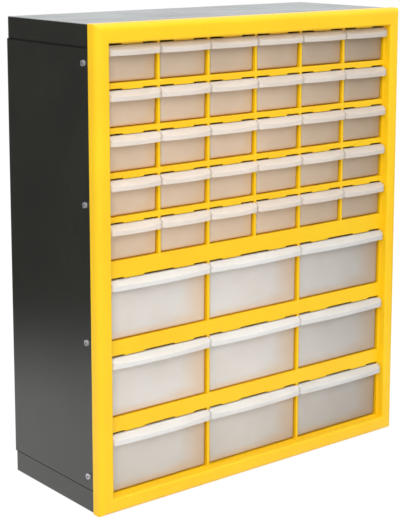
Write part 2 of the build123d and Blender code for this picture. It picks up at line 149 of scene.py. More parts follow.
# ---- effects that several finishes share -------------------------------------------------------
class SurfaceEffects:
    """Shader node groups, each built once and placed in every material that needs it.

    A span holds where an effect starts and ends, and its strength at those two places.
    """

    MM_PER_METRE = 1000.0
    GRAIN_ROUGHNESS = 0.6
    WAVE_FREQUENCY = 0.04
    DRIFT: Span = (0.3, 0.7, 0.0, 1.0)
    LEVEL: Span = (0.6, 1.0, 0.0, 1.0)
    DUST_FREQUENCY = 140.0
    DUST_PATCHES: Span = (0.35, 0.75, 0.3, 1.0)
    SEAM_EDGE: Span = (0.5, 1.0, 0.9, 0.0)

    # Painted light on a drawer's front, by the drawer map: 0 to 1 across it, and 0 to 1 up.
    RIGHT_SIDE: Span = (0.72, 1.0, 0.0, 0.55)
    FOOT: Span = (0.16, 0.0, 0.0, 0.5)
    SHELF_START = 0.35
    SHELF_RISE = 0.45
    WEDGE: Span = (-0.1, 0.12, 0.0, 1.0)
    WEDGE_SHARE = 0.4
    CORNER_SIDE: Span = (0.955, 0.98, 0.0, 0.9)
    CORNER_FOOT: Span = (0.05, 0.02, 0.0, 0.8)
    COOL_HIGHLIGHT_LEFT: Span = (0.0, 0.1, 0.45, 0.0)
    PAST_FRONT = 1.04
    BEHIND_SHARE = 0.8
    LIP_START = 1.0
    LIP_WARMTH = 0.35

    # Painted shade over the whole cabinet, by its own X and Z in metres.
    RIGHT_COLUMN_SHADE: Span = (0.0, 0.17, 1.0, 0.66)
    TOP_ROW_SHADE: Span = (0.36, 0.43, 1.0, 0.8)
    BOTTOM_ROW_SHADE: Span = (0.08, 0.02, 1.0, 0.82)
    LIP_SHADE_SHARE: Span = (0.0, 1.0, 1.0, 0.45)

    def __init__(self) -> None:
        """Build the groups."""
        self.grain = self._grain()
        self.drift = self._drift()
        self.dust = self._dust()
        self.glow = self._glow()
        self.seam = self._seam()

    def _grain(self) -> bpy.types.NodeTree:
        """Fine spark-eroded or powder grain, as a height.

        Returns:
            The shader group.
        """
        inputs = [
            ("Vector", "NodeSocketVector", None),
            ("Size", "NodeSocketFloat", 1.0),
            ("Waviness", "NodeSocketFloat", 0.2),
        ]
        outputs = [("Height", "NodeSocketFloat")]
        build, enter, leave = new_group("fine grain", "ShaderNodeTree", inputs, outputs)
        place = enter.outputs["Vector"]
        frequency = build.math("DIVIDE", self.MM_PER_METRE, enter.outputs["Size"])
        fine = build.add(
            "ShaderNodeTexNoise",
            {"Vector": place, "Scale": frequency, "Detail": 3.0, "Roughness": self.GRAIN_ROUGHNESS},
        ).outputs["Fac"]
        slow_frequency = build.math("MULTIPLY", frequency, self.WAVE_FREQUENCY)
        slow = build.add(
            "ShaderNodeTexNoise", {"Vector": place, "Scale": slow_frequency, "Detail": 1.0}
        ).outputs["Fac"]
        wave = build.math("MULTIPLY", slow, enter.outputs["Waviness"])
        build.tree.links.new(build.math("ADD", fine, wave), leave.inputs["Height"])
        return build.tree

    def _drift(self) -> bpy.types.NodeTree:
        """Slow change of colour and gloss over a moulded or painted surface.

        Returns:
            The shader group.
        """
        inputs = [
            ("Vector", "NodeSocketVector", None),
            ("Size", "NodeSocketFloat", 60.0),
            ("Base", "NodeSocketColor", (0.5, 0.5, 0.5, 1.0)),
            ("Shade", "NodeSocketColor", (0.4, 0.4, 0.4, 1.0)),
            ("Roughness", "NodeSocketFloat", 0.4),
            ("Roughness Change", "NodeSocketFloat", 0.06),
        ]
        outputs = [("Color", "NodeSocketColor"), ("Roughness", "NodeSocketFloat")]
        build, enter, leave = new_group("slow drift", "ShaderNodeTree", inputs, outputs)
        frequency = build.math("DIVIDE", self.MM_PER_METRE, enter.outputs["Size"])
        noise = build.add(
            "ShaderNodeTexNoise",
            {"Vector": enter.outputs["Vector"], "Scale": frequency, "Detail": 4.0},
        ).outputs["Fac"]
        amount = build.span(noise, *self.DRIFT)
        tint = build.mix(amount, enter.outputs["Base"], enter.outputs["Shade"])
        change = build.math("MULTIPLY", amount, enter.outputs["Roughness Change"])
        rough = build.math("ADD", enter.outputs["Roughness"], change)
        build.tree.links.new(tint, leave.inputs["Color"])
        build.tree.links.new(rough, leave.inputs["Roughness"])
        return build.tree

    def _dust(self) -> bpy.types.NodeTree:
        """Thin settled dust on level faces, as a mask.

        Returns:
            The shader group.
        """
        inputs = [("Vector", "NodeSocketVector", None), ("Amount", "NodeSocketFloat", 0.1)]
        build, enter, leave = new_group(
            "settled dust", "ShaderNodeTree", inputs, [("Mask", "NodeSocketFloat")]
        )
        normal = build.add("ShaderNodeNewGeometry").outputs["Normal"]
        upward = build.add("ShaderNodeSeparateXYZ", {0: normal}).outputs["Z"]
        level = build.span(upward, *self.LEVEL)
        specks = build.add(
            "ShaderNodeTexNoise",
            {"Vector": enter.outputs["Vector"], "Scale": self.DUST_FREQUENCY, "Detail": 5.0},
        ).outputs["Fac"]
        patch = build.span(specks, *self.DUST_PATCHES)
        mask = build.math("MULTIPLY", build.math("MULTIPLY", level, patch), enter.outputs["Amount"])
        build.tree.links.new(mask, leave.inputs["Mask"])
        return build.tree

    def _glow(self) -> bpy.types.NodeTree:
        """Painted light and shade on frosted walls: warm near the yellow posts, dimmer to the right.

        Returns:
            The shader group.
        """
        inputs = [
            ("Vector", "NodeSocketVector", None),
            ("Map", "NodeSocketVector", None),
            ("Base", "NodeSocketColor", (0.9, 0.9, 0.9, 1.0)),
            ("Warm", "NodeSocketColor", (0.9, 0.7, 0.5, 1.0)),
            ("Post", "NodeSocketColor", (0.9, 0.5, 0.2, 1.0)),
            ("Cool", "NodeSocketColor", (0.8, 0.85, 0.9, 1.0)),
            ("Split Height", "NodeSocketFloat", 0.235),
        ]
        outputs = [("Color", "NodeSocketColor")]
        build, enter, leave = new_group("light in frosted walls", "ShaderNodeTree", inputs, outputs)
        place = build.add("ShaderNodeSeparateXYZ", {0: enter.outputs["Vector"]}).outputs
        local = build.add("ShaderNodeSeparateXYZ", {0: enter.outputs["Map"]}).outputs
        across, up = local["X"], local["Y"]
        # Painted warm light on the small drawers; the large ones keep the clear colour.
        small = build.math("GREATER_THAN", place["Z"], enter.outputs["Split Height"])
        tint = build.mix(small, enter.outputs["Base"], enter.outputs["Warm"])
        # Painted glow of the yellow posts and guide shelf along the right side, the foot and the
        # corners.
        right = build.span(across, *self.RIGHT_SIDE)
        foot = build.span(up, *self.FOOT)
        shelf = build.math("SUBTRACT", across, self.SHELF_START)
        under_shelf = build.math("SUBTRACT", build.math("MULTIPLY", shelf, self.SHELF_RISE), up)
        wedge = build.math("MULTIPLY", build.span(under_shelf, *self.WEDGE), self.WEDGE_SHARE)
        post_light = build.math("MAXIMUM", build.math("MAXIMUM", right, foot), wedge)
        for value, span in ((across, self.CORNER_SIDE), (up, self.CORNER_FOOT)):
            post_light = build.math("MAXIMUM", post_light, build.span(value, *span))
        tint = build.mix(post_light, tint, enter.outputs["Post"])
        # Painted pale highlight along each front's left side.
        tint = build.mix(build.span(across, *self.COOL_HIGHLIGHT_LEFT), tint, enter.outputs["Cool"])
        # Walls behind the front mostly go back to the clear colour.
        past_front = build.math("GREATER_THAN", across, self.PAST_FRONT)
        behind = build.math("MULTIPLY", past_front, self.BEHIND_SHARE)
        tint = build.mix(behind, tint, enter.outputs["Base"])
        # Painted highlight: lips are lighter and less warm.
        lip = build.math("GREATER_THAN", up, self.LIP_START)
        warmth = build.math("MULTIPLY", small, self.LIP_WARMTH)
        tint = build.mix(lip, tint, build.mix(warmth, WHITE, enter.outputs["Warm"]))
        # Painted shade: darker towards the right columns and in the top and bottom rows, weaker on the
        # lips.
        far = build.span(place["X"], *self.RIGHT_COLUMN_SHADE)
        high = build.span(place["Z"], *self.TOP_ROW_SHADE)
        low = build.span(place["Z"], *self.BOTTOM_ROW_SHADE)
        level = build.math("MULTIPLY", build.math("MULTIPLY", far, high), low)
        shade = build.add("ShaderNodeCombineXYZ", {0: level, 1: level, 2: level}).outputs[0]
        with_painted_shade = build.mix(build.span(lip, *self.LIP_SHADE_SHARE), tint, shade, "MULTIPLY")
        build.tree.links.new(with_painted_shade, leave.inputs["Color"])
        return build.tree

    def _seam(self) -> bpy.types.NodeTree:
        """Painted shadow in the gap where a sheet laps another, as a mask round one height.

        Returns:
            The shader group.
        """
        inputs = [
            ("Vector", "NodeSocketVector", None),
            ("Height", "NodeSocketFloat", 0.4),
            ("Half Width", "NodeSocketFloat", 0.001),
        ]
        build, enter, leave = new_group(
            "lapped seam", "ShaderNodeTree", inputs, [("Mask", "NodeSocketFloat")]
        )
        level = build.add("ShaderNodeSeparateXYZ", {0: enter.outputs["Vector"]}).outputs["Z"]
        offset = build.math("ABSOLUTE", build.math("SUBTRACT", level, enter.outputs["Height"]))
        share = build.math("DIVIDE", offset, enter.outputs["Half Width"])
        build.tree.links.new(build.span(share, *self.SEAM_EDGE), leave.inputs["Mask"])
        return build.tree


# ---- finishes ----------------------------------------------------------------------------------
@dataclass(frozen=True)
class Finish:
    """A surface finish: a slowly changing base with fine grain, and thin dust on level faces."""

    name: str
    base: str
    shade: str
    roughness: float
    roughness_change: float
    grain_size: float
    grain_depth: float
    waviness: float = 0.2
    drift_size: float = 60.0
    dust: float = 0.0
    dust_colour: str = "B5B0A8"
    metallic: float = 0.0
    specular: float = 0.5
    ior: float = 1.5
    transmission: float = 0.0

    def build(self, effects: SurfaceEffects) -> bpy.types.Material:
        """Make the material.

        Args:
            effects: The shared shader groups.

        Returns:
            The finished material.
        """
        material = bpy.data.materials.new(self.name)
        material.use_nodes = True
        material.node_tree.nodes.clear()
        build = NodeBuilder(material.node_tree)
        place = build.add("ShaderNodeTexCoord").outputs["Object"]
        drift_inputs = {
            "Vector": place,
            "Size": self.drift_size,
            "Base": colour(self.base),
            "Shade": colour(self.shade),
            "Roughness": self.roughness,
            "Roughness Change": self.roughness_change,
        }
        drift = build.add("ShaderNodeGroup", drift_inputs, node_tree=effects.drift)
        grain_inputs = {"Vector": place, "Size": self.grain_size, "Waviness": self.waviness}
        grain = build.add("ShaderNodeGroup", grain_inputs, node_tree=effects.grain)
        tint = drift.outputs["Color"]
        if self.dust > 0:
            dust_inputs = {"Vector": place, "Amount": self.dust}
            dust = build.add("ShaderNodeGroup", dust_inputs, node_tree=effects.dust)
            tint = build.mix(dust.outputs["Mask"], tint, colour(self.dust_colour))
        tint, rough = self.detail(build, effects, place, tint, drift.outputs["Roughness"])
        bump = build.add(
            "ShaderNodeBump",
            {"Strength": 1.0, "Distance": self.grain_depth * MM, "Height": grain.outputs["Height"]},
        )
        shader = build.add(
            "ShaderNodeBsdfPrincipled",
            {
                "Base Color": tint,
                "Roughness": rough,
                "Metallic": self.metallic,
                "Specular IOR Level": self.specular,
                "IOR": self.ior,
                "Transmission Weight": self.transmission,
                "Normal": bump.outputs["Normal"],
            },
        )
        build.add("ShaderNodeOutputMaterial", {"Surface": shader.outputs["BSDF"]})
        return material

    def detail(
        self, build: NodeBuilder, effects: SurfaceEffects, place: Any, tint: Any, rough: Any
    ) -> tuple[Any, Any]:
        """Add what only one finish has to its colour and roughness. A plain finish adds nothing."""
        return tint, rough


@dataclass(frozen=True)
class FrostedFinish(Finish):
    """Frosted drawer plastic, with the light of the yellow frame round it and its shade painted into its
    colour.
    """

    # Colours of the painted light: the clear plastic, warm light, the posts' glow and the left-side
    # highlight.
    clear: str = "FFFAF4"
    warm: str = "FFE6CA"
    post: str = "FFC878"
    cool: str = "EEF1F2"
    split_height: float = 235 * MM
    map_name: str = "drawer map"

    def detail(
        self, build: NodeBuilder, effects: SurfaceEffects, place: Any, tint: Any, rough: Any
    ) -> tuple[Any, Any]:
        """Lay the painted light and shade over the plastic's own colour.

        Args:
            build: Adds nodes to the material.
            effects: The shared shader groups.
            place: Object coordinates.
            tint: The colour so far.
            rough: The roughness so far.

        Returns:
            The new colour, and the same roughness.
        """
        inputs = {
            "Vector": place,
            "Map": build.add("ShaderNodeUVMap", uv_map=self.map_name).outputs["UV"],
            "Base": colour(self.clear),
            "Warm": colour(self.warm),
            "Post": colour(self.post),
            "Cool": colour(self.cool),
            "Split Height": self.split_height,
        }
        glow = build.add("ShaderNodeGroup", inputs, node_tree=effects.glow).outputs["Color"]
        return build.mix(1.0, tint, glow, "MULTIPLY"), rough


@dataclass(frozen=True)
class CaseFinish(Finish):
    """Powder coat on the steel case, with a painted shadow line at each of its two seams."""

    seam_heights: tuple[float, float] = (430.5 * MM, 21.5 * MM)
    seam_half_width: float = 1.0 * MM
    seam_shadow_colour: str = "0A0B0A"

    def detail(
        self, build: NodeBuilder, effects: SurfaceEffects, place: Any, tint: Any, rough: Any
    ) -> tuple[Any, Any]:
        """Paint a shadow line into the seams between the wrap and the two trays, and dull them.

        Args:
            build: Adds nodes to the material.
            effects: The shared shader groups.
            place: Object coordinates.
            tint: The colour so far.
            rough: The roughness so far.

        Returns:
            The new colour and roughness.
        """
        for height in self.seam_heights:
            inputs = {"Vector": place, "Height": height, "Half Width": self.seam_half_width}
            seam = build.add("ShaderNodeGroup", inputs, node_tree=effects.seam).outputs["Mask"]
            # Painted shadow in the seam gap.
            tint = build.mix(seam, tint, colour(self.seam_shadow_colour))
            rough = build.math("MAXIMUM", rough, seam)
        return tint, rough


class FinishKind(Enum):
    """Every finish on the cabinet."""

    FRAME = Finish(
        name="yellow moulded plastic",
        base="FCCE10",
        shade="FBC70E",
        roughness=0.38,
        roughness_change=0.08,
        grain_size=0.5,
        grain_depth=0.012,
        dust=0.03,
        specular=0.4,
    )
    DRAWER = FrostedFinish(
        name="frosted drawer plastic",
        base="FFFFFF",
        shade="F7F5F2",
        roughness=0.45,
        roughness_change=0.08,
        grain_size=0.35,
        grain_depth=0.008,
        drift_size=40.0,
        ior=1.35,
        transmission=0.35,
    )
    CASE = CaseFinish(
        name="dark powder coat",
        base="31322D",
        shade="2D2E2A",
        roughness=0.2,
        roughness_change=0.05,
        grain_size=0.9,
        grain_depth=0.012,
        waviness=0.4,
        dust=0.04,
    )
    SCREW = Finish(
        name="zinc plate",
        base="E2E2E8",
        shade="CFD0D6",
        roughness=0.42,
        roughness_change=0.1,
        grain_size=0.25,
        grain_depth=0.006,
        drift_size=3.0,
        metallic=0.6,
    )


# ---- mesh helpers ------------------------------------------------------------------------------
def mesh_object(name: str, mesh: bpy.types.Mesh) -> bpy.types.Object:
    """Put a mesh in the scene as an object at the origin.

    Args:
        name: Name of the object.
        mesh: Its mesh, with the piece's place in it.

    Returns:
        The new object.
    """
    item = bpy.data.objects.new(name, mesh)
    bpy.context.scene.collection.objects.link(item)
    return item


def flatten(item: bpy.types.Object, name: str) -> bpy.types.Object:
    """Replace an object by the plain mesh that its modifiers make of it.

    Args:
        item: The object with modifiers. It is removed.
        name: Name of the new object.

    Returns:
        A new object at the origin with the evaluated mesh.
    """
    graph = bpy.context.evaluated_depsgraph_get()
    mesh = bpy.data.meshes.new_from_object(item.evaluated_get(graph), depsgraph=graph)
    bpy.data.objects.remove(item)
    mesh.name = name
    return mesh_object(name, mesh)


def run_tree(
    item: bpy.types.Object, tree: bpy.types.NodeTree, values: dict[str, Any], name: str
) -> bpy.types.Object:
    """Run a Geometry Nodes tree on an object and keep what it makes as a plain mesh.

    Args:
        item: The object that the tree starts from. It is removed.
        tree: The tree.
        values: Value of each named input.
        name: Name of the new object.

    Returns:
        A new object at the origin.
    """
    sockets = {s.name: s.identifier for s in tree.interface.items_tree if s.in_out == "INPUT"}
    modifier = item.modifiers.new(tree.name, "NODES")
    modifier.node_group = tree
    for label, value in values.items():
        modifier[sockets[label]] = value
    return flatten(item, name)


def prism(points: Sequence[Vector], along: Vector, name: str) -> bpy.types.Object:
    """Make a solid by moving a flat outline along a vector.

    Args:
        points: The outline, in order.
        along: How far and which way it moves.
        name: Name of the object.

    Returns:
        The solid, with its faces pointing outwards.
    """
    shell = bmesh.new()
    near = [shell.verts.new(point) for point in points]
    far = [shell.verts.new(point + along) for point in points]
    shell.faces.new(near)
    shell.faces.new(far)
    for index in range(len(points)):
        following = (index + 1) % len(points)
        shell.faces.new((near[index], near[following], far[following], far[index]))
    bmesh.ops.recalc_face_normals(shell, faces=shell.faces)
    mesh = bpy.data.meshes.new(name)
    shell.to_mesh(mesh)
    shell.free()
    return mesh_object(name, mesh)


class Join(Enum):
    """Ways to combine two solids, with Blender's name for each."""

    ADD = "UNION"
    CUT = "DIFFERENCE"
    SHARE = "INTERSECT"


def combine(first: bpy.types.Object, second: bpy.types.Object, how: Join) -> bpy.types.Object:
    """Combine two solids. Both are used up.

    Args:
        first: The solid that is changed.
        second: The solid that changes it.
        how: The way to combine them.

    Returns:
        The combined solid.
    """
    modifier = first.modifiers.new("combine", "BOOLEAN")
    modifier.operation = how.value
    modifier.object = second
    modifier.solver = "EXACT"
    result = flatten(first, first.name)
    bpy.data.objects.remove(second)
    return result


def ease_edges(item: bpy.types.Object, width: float, angle: float) -> None:
    """Round every edge sharper than an angle, and keep the broad faces flat to the eye.

    Args:
        item: The object that gets the modifiers.
        width: How far the rounding reaches from an edge.
        angle: Least angle of a rounded edge, in degrees.
    """
    for polygon in item.data.polygons:
        polygon.use_smooth = True
    bevel = item.modifiers.new("eased edges", "BEVEL")
    bevel.width = width
    bevel.segments = EDGE_STEPS
    bevel.limit_method = "ANGLE"
    bevel.angle_limit = math.radians(angle)
    bevel.use_clamp_overlap = False
    bevel.miter_outer = "MITER_ARC"
    weighted = item.modifiers.new("flat faces", "WEIGHTED_NORMAL")
    weighted.keep_sharp = True
    weighted.weight = 100


def repaint(node: bpy.types.Object, material: bpy.types.Material) -> None:
    """Give a CAD node that stays its finish.

    Args:
        node: The node's object.
        material: Its finish.
    """
    for slot in node.material_slots:
        slot.material = material
    LOG.info("node %s keeps its shape and gets %s", node.name, material.name)


def dress(
    item: bpy.types.Object, material: bpy.types.Material, slot: str, body: str, *nodes: str
) -> None:
    """Give a new piece its material and its body, and hide the nodes that it replaces.

    Args:
        item: The finished piece.
        material: Its finish.
        slot: Not used.
        body: The body that it moves with.
        *nodes: CAD nodes that it replaces.
    """
    item.data.materials.clear()
    item.data.materials.append(material)
    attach(item, body)
    if nodes:
        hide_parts(*nodes)
    LOG.info("piece %s: %d faces on %s", item.name, len(item.data.polygons), body)


# ---- drawers -----------------------------------------------------------------------------------
@dataclass(frozen=True)
class DrawerShape:
    """Sizes of one kind of drawer, for the shell that all drawers of the kind share."""

    width: float
    height: float
    length: float
    lip_width: float
    wall: float = 1.2 * MM
    front_wall: float = 1.5 * MM
    lean: float = 0.9 * MM
    bottom_round: float = 3.0 * MM
    upright_round: float = 2.6 * MM
    round_steps: int = 5
    lip_reach: float = 9.0 * MM
    lip_landing: float = 1.6 * MM
    lip_slope_drop: float = 5.2 * MM
    lip_drop: float = 9.0 * MM
    lip_wall: float = 1.3 * MM
    lip_bow: float = 2.2 * MM
    lip_corner: float = 3.6 * MM
    bow_steps: int = 14
    least_round: float = 0.4 * MM
    overlap: float = 0.2 * MM
    spill: float = 1.0 * MM
    map_margin: float = 0.13 * MM
    edge: float = 0.25 * MM
    edge_angle: float = 40.0

    def _ring(self, inset: float, z: float) -> list[Vector]:
        """Plan of the walls at one height, drawn in by an inset, with rounded corners.

        Args:
            inset: How far inside the outer skin the plan lies.
            z: Height above the drawer's underside.

        Returns:
            Points round the plan, in order.
        """
        half = self.width / 2 - self.lean * (1 - z / self.height) - inset
        near, far = inset, self.length - inset
        if inset >= self.wall:
            near += self.front_wall - self.wall
        radius = max(self.upright_round - inset, self.least_round)
        corners = ((half, near, -90), (half, far, 0), (-half, far, 90), (-half, near, 180))
        ring = []
        for x, y, start in corners:
            centre_x = x - math.copysign(radius, x)
            centre_y = y + radius if y == near else y - radius
            for step in range(self.round_steps + 1):
                turn = math.radians(start + 90 * step / self.round_steps)
                ring.append(
                    Vector((centre_x + radius * math.cos(turn), centre_y + radius * math.sin(turn), z))
                )
        return ring

    def _rings(self) -> list[list[Vector]]:
        """Every ring of the tub, from under the floor, over the brim, to the floor inside.

        Returns:
            The rings, all with the same count of points.
        """
        rings = []
        inner_round = self.bottom_round - self.wall
        for step in range(self.round_steps + 1):
            turn = math.radians(90 * step / self.round_steps)
            inset = self.bottom_round * (1 - math.sin(turn))
            rings.append(self._ring(inset, self.bottom_round * (1 - math.cos(turn))))
        rings.append(self._ring(0, self.height))
        rings.append(self._ring(self.wall, self.height))
        for step in range(self.round_steps, -1, -1):
            turn = math.radians(90 * step / self.round_steps)
            inset = self.wall + inner_round * (1 - math.sin(turn))
            rings.append(self._ring(inset, self.wall + inner_round * (1 - math.cos(turn))))
        return rings

    def tub(self) -> bpy.types.Object:
        """Make the open tub, with leaning sides and rounded bottom and upright corners.

        Returns:
            The tub, a closed solid.
        """
        shell = bmesh.new()
        rings = [[shell.verts.new(point) for point in ring] for ring in self._rings()]
        count = len(rings[0])
        for lower, upper in zip(rings, rings[1:]):
            for index in range(count):
                following = (index + 1) % count
                shell.faces.new((lower[index], lower[following], upper[following], upper[index]))
        shell.faces.new(list(reversed(rings[0])))
        shell.faces.new(rings[-1])
        bmesh.ops.recalc_face_normals(shell, faces=shell.faces)
        mesh = bpy.data.meshes.new("tub")
        shell.to_mesh(mesh)
        shell.free()
        return mesh_object("tub", mesh)

    def _bow(self, x: float, half: float, front: float) -> float:
        """Y of the bowed front edge at x."""
        radius = (half**2 + self.lip_bow**2) / (2 * self.lip_bow)
        return front + radius - math.sqrt(radius**2 - x**2)

    def _lip_plan(self, inset: float, rear: float) -> list[Point2]:
        """Plan of the lip: a bowed front edge that rounds into straight ends.

        Args:
            inset: How far inside the outer skin the plan lies.
            rear: Y of its rear edge.

        Returns:
            Points round the plan, in order.
        """
        half = self.lip_width / 2 - inset
        front = inset - self.lip_reach
        radius = self.lip_corner - inset
        span = half - radius
        edge = [
            (x, self._bow(x, half, front))
            for x in (span * (2 * step / self.bow_steps - 1) for step in range(self.bow_steps + 1))
        ]
        corner_y = edge[-1][1] + radius
        right = []
        for step in range(1, self.round_steps + 1):
            turn = math.radians(-90 + 90 * step / self.round_steps)
            right.append((span + radius * math.cos(turn), corner_y + radius * math.sin(turn)))
        left = [(-x, y) for x, y in reversed(right)]
        return [*left, *edge, *right, (half, rear), (-half, rear)]

    def _lip_side(self, wall: float) -> list[Point2]:
        """Side view of the lip: level, then sloped, then straight down.

        Args:
            wall: How far below the lip's top the view starts.

        Returns:
            Y and Z of each corner, in order.
        """
        top = self.height - wall
        low = self.height - self.lip_drop
        reach = self.lip_reach + self.spill
        slope = self.lip_slope_drop / (self.lip_reach - self.lip_landing)
        end = top - slope * (reach - self.lip_landing)
        rear = self.front_wall / 2
        return [(rear, low), (rear, top), (-self.lip_landing, top), (-reach, end), (-reach, low)]

    def _hood(self, inset: float, rear: float, name: str) -> bpy.types.Object:
        """Make the solid under the lip's outer or inner skin.

        Args:
            inset: How far inside the outer skin it lies.
            rear: Y of its rear edge.
            name: Name of the object.

        Returns:
            The solid. One that is cut out of another runs a little past it.
        """
        low = self.height - self.lip_drop
        spill = self.spill if inset else 0.0
        plan = [Vector((x, y, low - spill)) for x, y in self._lip_plan(inset, rear)]
        body = prism(plan, Vector((0, 0, self.lip_drop + 2 * spill)), name)
        left = -self.lip_width
        side = [Vector((left, y, z if z > low else low - spill)) for y, z in self._lip_side(inset)]
        return combine(body, prism(side, Vector((-2 * left, 0, 0)), "side view"), Join.SHARE)

    def _neck(self) -> bpy.types.Object:
        """Make the block that joins the hood to the drawer's front wall.

        Returns:
            The block.
        """
        half = self.width / 2 - self.upright_round
        low = self.height - self.lip_wall
        rear = self.front_wall / 2
        near = -self.lip_landing - self.overlap
        corners = ((-half, near), (half, near), (half, rear), (-half, rear))
        points = [Vector((x, y, low)) for x, y in corners]
        return prism(points, Vector((0, 0, self.lip_wall)), "neck")

    def shell(self, name: str) -> bpy.types.Object:
        """Make the tub with its lip, in the drawer's own place: front at Y of 0, floor at Z of 0.

        Args:
            name: Name of the object.

        Returns:
            The shell, with its drawer map.
        """
        hood = self._hood(0.0, -self.lip_landing, "hood")
        hood = combine(hood, self._hood(self.lip_wall, 0.0, "void"), Join.CUT)
        hood = combine(hood, self._neck(), Join.ADD)
        part = combine(self.tub(), hood, Join.ADD)
        ease_edges(part, self.edge, self.edge_angle)
        part = flatten(part, name)
        self._lay_map(part.data)
        return part

    def _lay_map(self, mesh: bpy.types.Mesh) -> None:
        """Lay the drawer map: across and up the front from 0 to 1.

        The lip lies above 1, and what is behind the front wall lies past 2 across.

        Args:
            mesh: The shell's mesh.
        """
        layer = mesh.uv_layers.new(name=FinishKind.DRAWER.value.map_name)
        for polygon in mesh.polygons:
            lip = 1.0 if polygon.center.y < -self.map_margin else 0.0
            behind = 2.0 if polygon.center.y > self.upright_round + self.wall else 0.0
            for index in polygon.loop_indices:
                place = mesh.vertices[mesh.loops[index].vertex_index].co
                across = place.x / self.width + 0.5 + behind
                layer.data[index].uv = (across, place.z / self.height + lip)


class DrawerKind(Enum):
    """Kinds of drawer, each with its count of stop ears."""

    SMALL = 1
    LARGE = 2


@dataclass
class Drawers:
    """Thirty small and nine large drawers, and the dividers in the large ones."""

    plastic: bpy.types.Material
    ear_width: float = 14.0 * MM
    ear_height: float = 1.8 * MM
    ear_root: float = 3.0 * MM
    lip_reach: float = 9.0 * MM
    lip_gap: float = 1.0 * MM
    side_clearance: float = 0.6 * MM
    post_width: float = 2.8 * MM
    small_headroom: float = 0.4 * MM

    def _fitting_tree(self) -> bpy.types.NodeTree:
        """Geometry Nodes: a shell gets its row of stop ears and moves to its bay.

        Returns:
            The tree.
        """
        inputs = [
            ("Geometry", "NodeSocketGeometry", None),
            ("Place", "NodeSocketVector", (0.0, 0.0, 0.0)),
            ("Ears", "NodeSocketInt", 1),
            ("Ear Pitch", "NodeSocketFloat", 0.05),
            ("Ear Size", "NodeSocketVector", (0.014, 0.0012, 0.004)),
            ("Ear Centre", "NodeSocketVector", (0.0, 0.0, 0.0)),
            ("Material", "NodeSocketMaterial", None),
        ]
        build, enter, leave = new_group(
            "fit out a drawer", "GeometryNodeTree", inputs, [("Geometry", "NodeSocketGeometry")]
        )
        pitch, count = enter.outputs["Ear Pitch"], enter.outputs["Ears"]
        gaps = build.math("SUBTRACT", count, 1.0)
        start_x = build.math("MULTIPLY", build.math("MULTIPLY", gaps, pitch), -0.5)
        step = build.add("ShaderNodeCombineXYZ", {"X": pitch}).outputs[0]
        first = build.add("ShaderNodeCombineXYZ", {"X": start_x}).outputs[0]
        start = build.add("ShaderNodeVectorMath", {0: first, 1: enter.outputs["Ear Centre"]}).outputs[0]
        row = build.add(
            "GeometryNodeMeshLine", {"Count": count, "Start Location": start, "Offset": step}
        )
        ear = build.add("GeometryNodeMeshCube", {"Size": enter.outputs["Ear Size"]})
        ears = build.add(
            "GeometryNodeInstanceOnPoints",
            {"Points": row.outputs["Mesh"], "Instance": ear.outputs["Mesh"]},
        )
        join = build.add("GeometryNodeJoinGeometry")
        for source in (enter.outputs["Geometry"], ears.outputs["Instances"]):
            build.tree.links.new(source, join.inputs[0])
        moved = build.add(
            "GeometryNodeTransform",
            {"Geometry": join.outputs[0], "Translation": enter.outputs["Place"]},
        )
        real = build.add("GeometryNodeRealizeInstances", {"Geometry": moved.outputs[0]})
        painted = build.add(
            "GeometryNodeSetMaterial",
            {"Geometry": real.outputs[0], "Material": enter.outputs["Material"]},
        )
        build.tree.links.new(painted.outputs[0], leave.inputs[0])
        return build.tree

    def _sizes(self, node: str, kind: DrawerKind) -> tuple[DrawerShape, Vector, float]:
        """Work out a drawer's sizes from the box of its CAD node.

        Args:
            node: Name of the CAD node.
            kind: Kind of the drawer.

        Returns:
            The drawer's shape, its place and the pitch of its stop ears.
        """
        low, high = (Vector(corner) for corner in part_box(node))
        lip_width = high.x - low.x
        bay_width = lip_width + self.lip_gap
        width = bay_width - self.post_width - 2 * self.side_clearance
        headroom = self.small_headroom if kind is DrawerKind.SMALL else 0.0
        height = high.z - low.z - self.ear_height - headroom
        length = high.y - low.y - self.lip_reach
        shape = DrawerShape(width=width, height=height, length=length, lip_width=lip_width)
        place = Vector(((low.x + high.x) / 2, low.y + self.lip_reach, low.z))
        return shape, place, bay_width / kind.value

    def _fit(
        self, tree: bpy.types.NodeTree, shell: bpy.types.Object, node: str, kind: DrawerKind
    ) -> None:
        """Put one drawer in its bay.

        Args:
            tree: The tree that fits out a drawer.
            shell: Tub and lip of this kind of drawer.
            node: CAD node that the drawer replaces.
            kind: Kind of the drawer.
        """
        shape, place, pitch = self._sizes(node, kind)
        centre_z = shape.height + (self.ear_height - self.ear_root) / 2
        values = {
            "Place": place,
            "Ears": kind.value,
            "Ear Pitch": pitch,
            "Ear Size": Vector((self.ear_width, shape.wall, self.ear_height + self.ear_root)),
            "Ear Centre": Vector((0, shape.length - shape.wall / 2, centre_z)),
            "Material": self.plastic,
        }
        item = mesh_object(node + "_shell", shell.data.copy())
        fitted = run_tree(item, tree, values, node + "_frosted")
        dress(fitted, self.plastic, "drawer_plastic", node.replace("drawer_", ""), node)

    def build(self) -> None:
        """Make every drawer, row by row, and give the dividers their plastic."""
        tree = self._fitting_tree()
        names = sorted(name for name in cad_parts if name.startswith("drawer_"))
        for kind in DrawerKind:
            label = kind.name.lower()
            members = [name for name in names if name.startswith("drawer_" + label)]
            shell = self._sizes(members[0], kind)[0].shell(label + "_drawer_shell")
            for node in members:
                self._fit(tree, shell, node, kind)
            bpy.data.objects.remove(shell)
        for name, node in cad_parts.items():
            if name.startswith("divider"):
                repaint(node, self.plastic)


